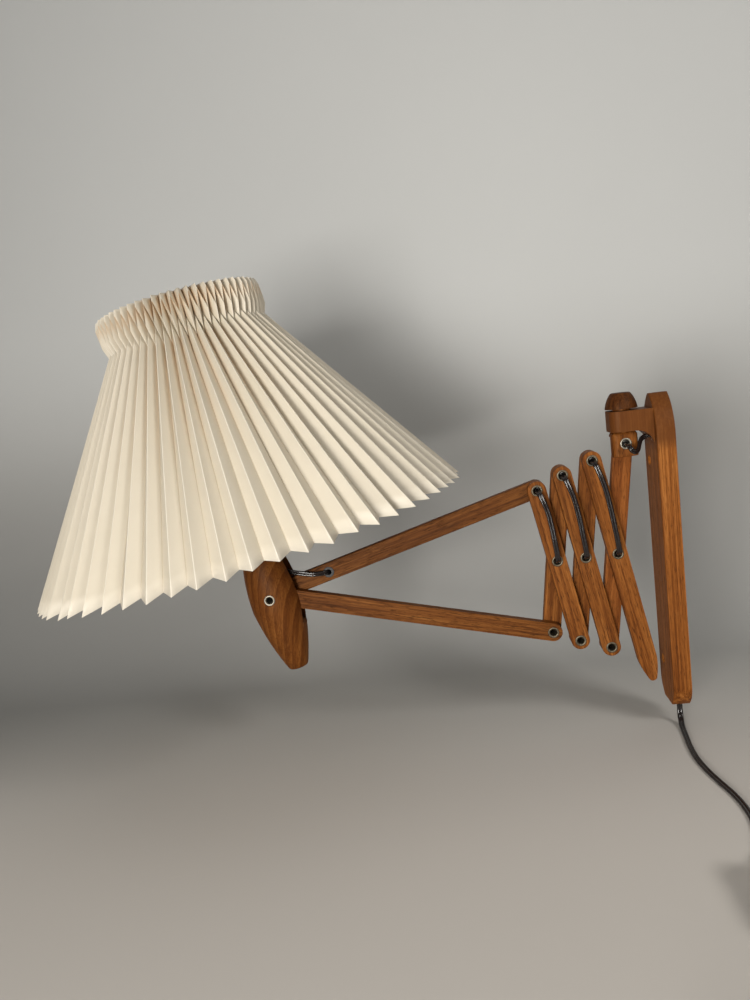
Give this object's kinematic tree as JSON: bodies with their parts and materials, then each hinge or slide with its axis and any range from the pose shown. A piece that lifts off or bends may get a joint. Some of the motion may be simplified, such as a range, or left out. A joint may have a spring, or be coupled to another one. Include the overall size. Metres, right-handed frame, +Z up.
{
  "type": "accordion wall lamp",
  "caption": "Wooden scissor-arm wall lamp: swivelling lattice arm that slides in and out from a wall plate, tilting turned holder and a pleated shade.",
  "frame": {"origin": "middle of the wall plate's back face, which lies on the wall", "axes": "+Y into the wall, so -Y points out into the room; +Z up; +X towards the side of the front layer of arms"},
  "size_m": [0.5685, 0.5074, 0.3923],
  "materials": {
    "teak": "oiled, satin, long straight grain",
    "rivet_metal": "nickel-plated, slightly dull",
    "flex": "black sheath with a soft gloss",
    "black_plastic": "moulded, soft gloss",
    "bakelite": "moulded, soft gloss",
    "ceramic": "glazed white",
    "brass": "turned",
    "cap_metal": "rolled thread",
    "opal_glass": "opal white",
    "pleated_fabric": "ivory, folded into narrow pleats",
    "steel": "zinc-plated"
  },
  "bodies": {
    "wall": {"wall_plate": "teak", "cable_plate": "flex", "cord_clamp": "steel", "cord_clamp_screws": "steel", "supply_cord": "flex", "supply_cord_to_coil": "flex", "supply_cord_coil": "flex", "supply_cord_end": "flex", "plug_body": "black_plastic", "plug_pins": "brass", "cord_switch_base": "black_plastic", "cord_switch_cover": "black_plastic", "cable_swivel_loop": "flex"},
    "rocker": {"cord_switch_rocker": "black_plastic"},
    "swivel": {"swivel_block": "teak", "pin_knob": "teak", "rivet_swivel": "rivet_metal"},
    "back_arm_1": {"scissor_arm_back_1": "teak", "cable_back_1": "flex", "rivet_middle_1": "rivet_metal", "rivet_lower_1": "rivet_metal"},
    "front_arm_1": {"scissor_arm_front_1": "teak", "cable_front_1": "flex", "rivet_upper_1": "rivet_metal"},
    "back_arm_2": {"scissor_arm_back_2": "teak", "cable_back_2": "flex", "rivet_middle_2": "rivet_metal", "rivet_lower_2": "rivet_metal"},
    "front_arm_2": {"scissor_arm_front_2": "teak", "cable_front_2": "flex", "rivet_upper_2": "rivet_metal"},
    "back_arm_3": {"scissor_arm_back_3": "teak", "cable_back_3": "flex", "rivet_middle_3": "rivet_metal", "rivet_lower_3": "rivet_metal"},
    "front_arm_3": {"scissor_arm_front_3": "teak", "cable_front_3": "flex", "rivet_upper_3": "rivet_metal"},
    "upper_long_arm": {"long_arm_upper": "teak", "cable_upper": "flex", "cable_ferrule": "black_plastic", "cable_tilt_loop": "flex"},
    "lower_long_arm": {"long_arm_lower": "teak"},
    "lamp_head": {"shade_holder": "teak", "rivet_head": "rivet_metal", "cable_head": "flex", "threaded_nipple": "brass", "lampholder_cap": "bakelite", "terminal_block": "ceramic", "centre_contact": "brass", "lampholder_sleeve": "bakelite", "shade_ring": "bakelite", "bulb_cap": "cap_metal", "bulb_glass": "opal_glass", "shade_carrier": "steel", "pleated_shade": "pleated_fabric"}
  },
  "joints": [
    {"name": "swivel", "type": "hinge", "parent": "wall", "child": "swivel", "pos_m": [0, -0.0345, 0.107], "axis": [0, 0, 1], "range_deg": [-55, 55], "deforming": ["cable_swivel_loop"]},
    {"name": "root_pivot", "type": "hinge", "parent": "swivel", "child": "back_arm_1", "pos_m": [0, -0.0345, 0.089], "axis": [1, 0, 0], "range_deg": [-33, 2]},
    {"name": "extension", "type": "hinge", "parent": "back_arm_1", "child": "front_arm_1", "pos_m": [0, -0.0465, 0.00283], "axis": [1, 0, 0], "range_deg": [-3, 60]},
    {"name": "upper_pivot_1", "type": "hinge", "parent": "front_arm_1", "child": "back_arm_2", "pos_m": [0, -0.06096, 0.07846], "axis": [1, 0, 0], "range_deg": [-60.5, 3.5]},
    {"name": "middle_pivot_2", "type": "hinge", "parent": "back_arm_2", "child": "front_arm_2", "pos_m": [0, -0.07158, 0.0022], "axis": [1, 0, 0], "range_deg": [-3.5, 60.5]},
    {"name": "upper_pivot_2", "type": "hinge", "parent": "front_arm_2", "child": "back_arm_3", "pos_m": [0, -0.08444, 0.06948], "axis": [1, 0, 0], "range_deg": [-60.5, 3.5]},
    {"name": "middle_pivot_3", "type": "hinge", "parent": "back_arm_3", "child": "front_arm_3", "pos_m": [0, -0.09389, 0.00164], "axis": [1, 0, 0], "range_deg": [-3.5, 60.5]},
    {"name": "upper_long_pivot", "type": "hinge", "parent": "front_arm_3", "child": "upper_long_arm", "pos_m": [0, -0.10497, 0.05959], "axis": [1, 0, 0], "range_deg": [-33.5, 2]},
    {"name": "lower_long_pivot", "type": "hinge", "parent": "back_arm_3", "child": "lower_long_arm", "pos_m": [0, -0.10203, -0.0568], "axis": [1, 0, 0], "range_deg": [-2, 33.5]},
    {"name": "head_tilt", "type": "hinge", "parent": "upper_long_arm", "child": "lamp_head", "pos_m": [0, -0.32594, -0.00422], "axis": [1, 0, 0], "range_deg": [-6, 15], "deforming": ["cable_tilt_loop"]},
    {"name": "rocker", "type": "hinge", "parent": "wall", "child": "rocker", "pos_m": [0.236, -0.017, -0.1278], "axis": [0, 1, 0], "range_deg": [-18, 0]}
  ],
  "couplings": [
    {"joint": "root_pivot", "follows": "extension", "ratio": -0.545},
    {"joint": "upper_pivot_1", "follows": "extension", "ratio": -1},
    {"joint": "middle_pivot_2", "follows": "extension", "ratio": 1},
    {"joint": "upper_pivot_2", "follows": "extension", "ratio": -1},
    {"joint": "middle_pivot_3", "follows": "extension", "ratio": 1},
    {"joint": "upper_long_pivot", "follows": "extension", "ratio": -0.552},
    {"joint": "lower_long_pivot", "follows": "extension", "ratio": 0.552}
  ]
}
